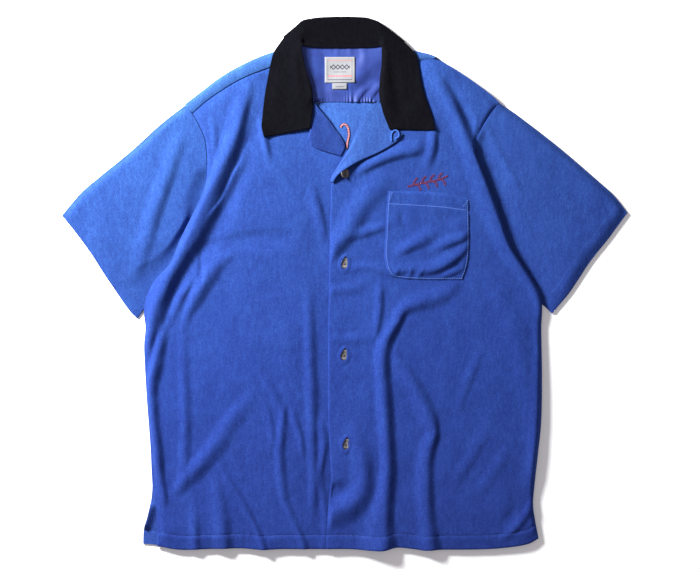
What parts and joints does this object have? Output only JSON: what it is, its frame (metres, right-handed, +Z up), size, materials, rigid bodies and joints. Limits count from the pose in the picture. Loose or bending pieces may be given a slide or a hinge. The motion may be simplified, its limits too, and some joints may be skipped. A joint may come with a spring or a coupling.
{
  "type": "short-sleeved bowling shirt laid flat",
  "caption": "Short-sleeved bowling shirt laid flat and buttoned, with an open camp collar, a chest patch pocket, a back yoke and side slits.",
  "frame": {"origin": "centre of the shirt's outline, on the surface it lies on", "axes": "+X towards the wearer's left sleeve, +Y from the hem to the collar, +Z up from the surface"},
  "size_m": [0.8218, 0.7715, 0.0118],
  "materials": {
    "body_cloth": "royal blue with a short nap",
    "lining_satin": "violet-blue satin",
    "collar_cloth": "black brushed cloth",
    "button_shell": "grey-brown shell look, polished",
    "label_weave": "white woven tape"
  },
  "bodies": {
    "root": {"back": "body_cloth", "yoke": "body_cloth", "yoke_lining": "lining_satin", "sleeve_right": "body_cloth", "sleeve_left": "body_cloth", "front_right": "body_cloth", "facing_right": "body_cloth", "front_left": "body_cloth", "facing_left": "body_cloth", "collar": "collar_cloth", "pocket": "body_cloth", "label": "label_weave", "size_tab": "label_weave", "button_1": "button_shell", "button_2": "button_shell", "button_3": "button_shell", "button_4": "button_shell", "loop": "body_cloth"}
  },
  "joints": []
}
